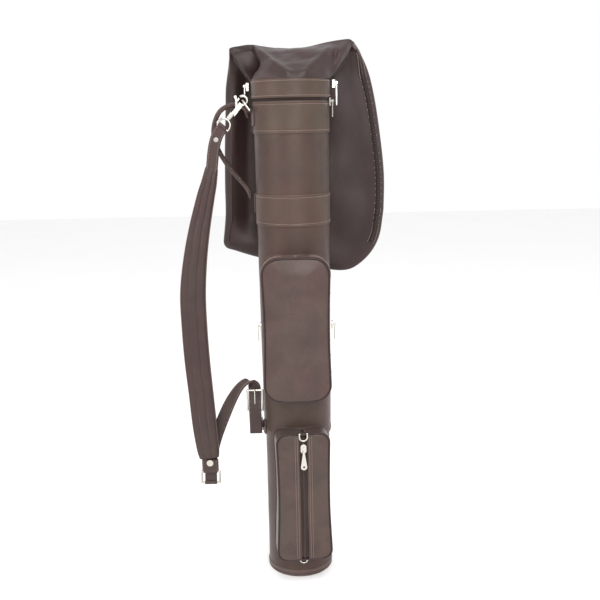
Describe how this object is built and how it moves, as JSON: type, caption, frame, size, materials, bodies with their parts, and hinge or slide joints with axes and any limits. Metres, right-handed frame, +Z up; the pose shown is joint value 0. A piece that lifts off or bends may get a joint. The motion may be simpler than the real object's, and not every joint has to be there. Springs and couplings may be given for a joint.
{
  "type": "slim round carry bag",
  "caption": "Slim round leather carry bag that stands upright, with a zip-on hood thrown back over the mouth, two zip pockets, a rolled grab handle and a padded shoulder strap.",
  "frame": {"origin": "centre of the flat base, on the axis of the round tube", "axes": "+Z up along the tube, -Y to the front where the pockets are, +X to the side away from the strap"},
  "size_m": [0.368, 0.2044, 0.942],
  "materials": {
    "shell_leather": "smooth full-grain leather, satin wax finish, dark brown",
    "band_leather": "smooth leather with two rows of stitching",
    "base_leather": "dark rolled leather, slightly scuffed",
    "fibreboard": "pressed fibre board, raw",
    "liner_plastic": "black extruded tube, matte",
    "hood_leather": "soft thin leather, satin, lightly creased",
    "zip_tape": "woven tape with coil teeth",
    "bright_nickel": "polished nickel plate",
    "ring_nickel": "bent wire, polished nickel plate",
    "hook_nickel": "die-cast, nickel plate with fine wear",
    "strap_leather": "padded leather with lengthwise stitched grooves",
    "pocket_leather": "smooth full-grain leather, satin",
    "piping_leather": "dark rolled leather piping"
  },
  "bodies": {
    "bag": {"base_cap": "base_leather", "base_welt": "base_leather", "base_board": "fibreboard", "tube_liner": "liner_plastic", "lower_shell": "shell_leather", "upper_shell": "shell_leather", "band_lower": "band_leather", "band_upper": "band_leather", "rim_zip_lower": "zip_tape", "rim_hinge": "hood_leather", "handle_tabs": "band_leather", "strap_anchor_tabs": "strap_leather", "mid_pocket_wall": "pocket_leather", "mid_pocket_front": "pocket_leather", "mid_pocket_piping": "piping_leather", "mid_pocket_zip": "zip_tape", "low_pocket_wall": "pocket_leather", "low_panel_left": "pocket_leather", "low_panel_right": "pocket_leather", "low_pocket_piping": "piping_leather", "low_pocket_zip": "zip_tape", "low_dring_tabs": "piping_leather", "collar_ring": "band_leather", "rim_zip_upper": "zip_tape", "hood_neck": "hood_leather", "hood_zip_right": "zip_tape", "hood_zip_left": "zip_tape", "hood_crest": "hood_leather"},
    "hood": {"hood_inner_panel": "hood_leather", "hood_outer_panel": "hood_leather", "hood_gusset": "hood_leather"},
    "strap": {"swivel_eye": "ring_nickel", "strap_top": "strap_leather", "strap_pad": "strap_leather", "strap_rivets": "ring_nickel", "strap_end_tab": "strap_leather", "strap_ring": "ring_nickel", "strap_narrow": "strap_leather", "buckle_frame": "ring_nickel", "strap_stub": "strap_leather", "strap_ring_lower": "ring_nickel"},
    "handle": {"handle_grip": "strap_leather"},
    "rim_zip_slider": {"rim_slider": "bright_nickel"},
    "rim_zip_pull": {"rim_pull": "bright_nickel"},
    "hood_slider_r": {"hood_slider_right": "bright_nickel"},
    "hood_pull_r": {"hood_pull_right": "bright_nickel"},
    "hood_slider_l": {"hood_slider_left": "bright_nickel"},
    "hood_pull_l": {"hood_pull_left": "bright_nickel"},
    "upper_dring": {"strap_dring_upper": "ring_nickel"},
    "hook": {"hook_body": "hook_nickel"},
    "gate": {"hook_gate": "hook_nickel"},
    "prong": {"buckle_prong": "ring_nickel"},
    "mid_slider_l": {"mid_slider_left": "bright_nickel"},
    "mid_slider_r": {"mid_slider_right": "bright_nickel"},
    "mid_pull_l": {"mid_pull_left": "bright_nickel"},
    "mid_pull_r": {"mid_pull_right": "bright_nickel"},
    "low_zip_slider": {"low_slider": "bright_nickel"},
    "low_zip_pull": {"low_pull": "bright_nickel"},
    "top_dring": {"low_dring_top": "ring_nickel"},
    "bottom_dring": {"low_dring_bottom": "ring_nickel"}
  },
  "joints": [
    {"name": "hood_raise", "type": "hinge", "parent": "bag", "child": "hood", "pos_m": [0, 0.052, 0.936], "axis": [1, 0, 0], "range_deg": [0, 165]},
    {"name": "strap_swing", "type": "hinge", "parent": "bag", "child": "strap", "pos_m": [-0.07967, -0.0175, 0.85038], "axis": [-0.0277, 0, 0.9996], "range_deg": [-8, 38]},
    {"name": "hook_swivel", "type": "hinge", "parent": "strap", "child": "hook", "pos_m": [-0.07967, -0.0175, 0.85038], "axis": [0.6428, 0, 0.766], "range_deg": [-20, 5]},
    {"name": "hook_gate_press", "type": "hinge", "parent": "hook", "child": "gate", "pos_m": [-0.09042, -0.0175, 0.83851], "axis": [0, 1, 0], "range_deg": [0, 10], "stiffness_Nm_per_rad": 0.02},
    {"name": "upper_dring_tilt", "type": "hinge", "parent": "bag", "child": "upper_dring", "pos_m": [-0.0682, -0.0175, 0.834], "axis": [0, 1, 0], "range_deg": [-5, 0]},
    {"name": "buckle_prong_lift", "type": "hinge", "parent": "strap", "child": "prong", "pos_m": [-0.0755, -0.0175, 0.307], "axis": [1, 0, 0], "range_deg": [0, 20]},
    {"name": "handle_swing", "type": "hinge", "parent": "bag", "child": "handle", "pos_m": [-0.0721, 0.006, 0.754], "axis": [0, 0, -1], "range_deg": [0, 28]},
    {"name": "rim_slider_travel", "type": "hinge", "parent": "bag", "child": "rim_zip_slider", "pos_m": [0, 0, 0.847], "axis": [0, 0, 1], "range_deg": [-128, 50]},
    {"name": "rim_pull_swing", "type": "hinge", "parent": "rim_zip_slider", "child": "rim_zip_pull", "pos_m": [0.06986, -0.01742, 0.847], "axis": [-0.2419, -0.9703, 0], "range_deg": [0, 110]},
    {"name": "hood_slider_right_travel", "type": "slide", "parent": "bag", "child": "hood_slider_r", "axis": [0.5033, 0.6325, 0.5888], "range_m": [0, 0.035]},
    {"name": "hood_slider_left_travel", "type": "slide", "parent": "bag", "child": "hood_slider_l", "axis": [-0.4615, 0.6494, 0.6045], "range_m": [0, 0.035]},
    {"name": "hood_pull_right_swing", "type": "hinge", "parent": "hood_slider_r", "child": "hood_pull_r", "pos_m": [0.0772, 0, 0.877], "axis": [0, -1, 0], "range_deg": [0, 110]},
    {"name": "hood_pull_left_swing", "type": "hinge", "parent": "hood_slider_l", "child": "hood_pull_l", "pos_m": [-0.0772, 0, 0.874], "axis": [0, 1, 0], "range_deg": [0, 110]},
    {"name": "mid_slider_left_travel", "type": "slide", "parent": "bag", "child": "mid_slider_l", "axis": [0, 0, 1], "range_m": [-0.068, 0.07]},
    {"name": "mid_slider_right_travel", "type": "slide", "parent": "bag", "child": "mid_slider_r", "axis": [0, 0, 1], "range_m": [-0.068, 0.07]},
    {"name": "mid_pull_left_swing", "type": "hinge", "parent": "mid_slider_l", "child": "mid_pull_l", "pos_m": [-0.06241, -0.07666, 0.478], "axis": [-0.0262, 0.9997, 0], "range_deg": [0, 110]},
    {"name": "mid_pull_right_swing", "type": "hinge", "parent": "mid_slider_r", "child": "mid_pull_r", "pos_m": [0.06634, -0.07329, 0.478], "axis": [0.0262, -0.9997, 0], "range_deg": [0, 110]},
    {"name": "low_slider_travel", "type": "slide", "parent": "bag", "child": "low_zip_slider", "axis": [0, 0, -1], "range_m": [0, 0.19]},
    {"name": "low_pull_swing", "type": "hinge", "parent": "low_zip_slider", "child": "low_zip_pull", "pos_m": [0.00998, -0.09498, 0.262], "axis": [-0.9945, -0.1045, 0], "range_deg": [0, 110]},
    {"name": "top_dring_swing", "type": "hinge", "parent": "bag", "child": "top_dring", "pos_m": [0.00979, -0.09319, 0.2892], "axis": [-0.9945, -0.1045, 0], "range_deg": [0, 95]},
    {"name": "bottom_dring_swing", "type": "hinge", "parent": "bag", "child": "bottom_dring", "pos_m": [0.00648, -0.06166, 0.042], "axis": [-0.9945, -0.1045, 0], "range_deg": [0, 95]}
  ]
}
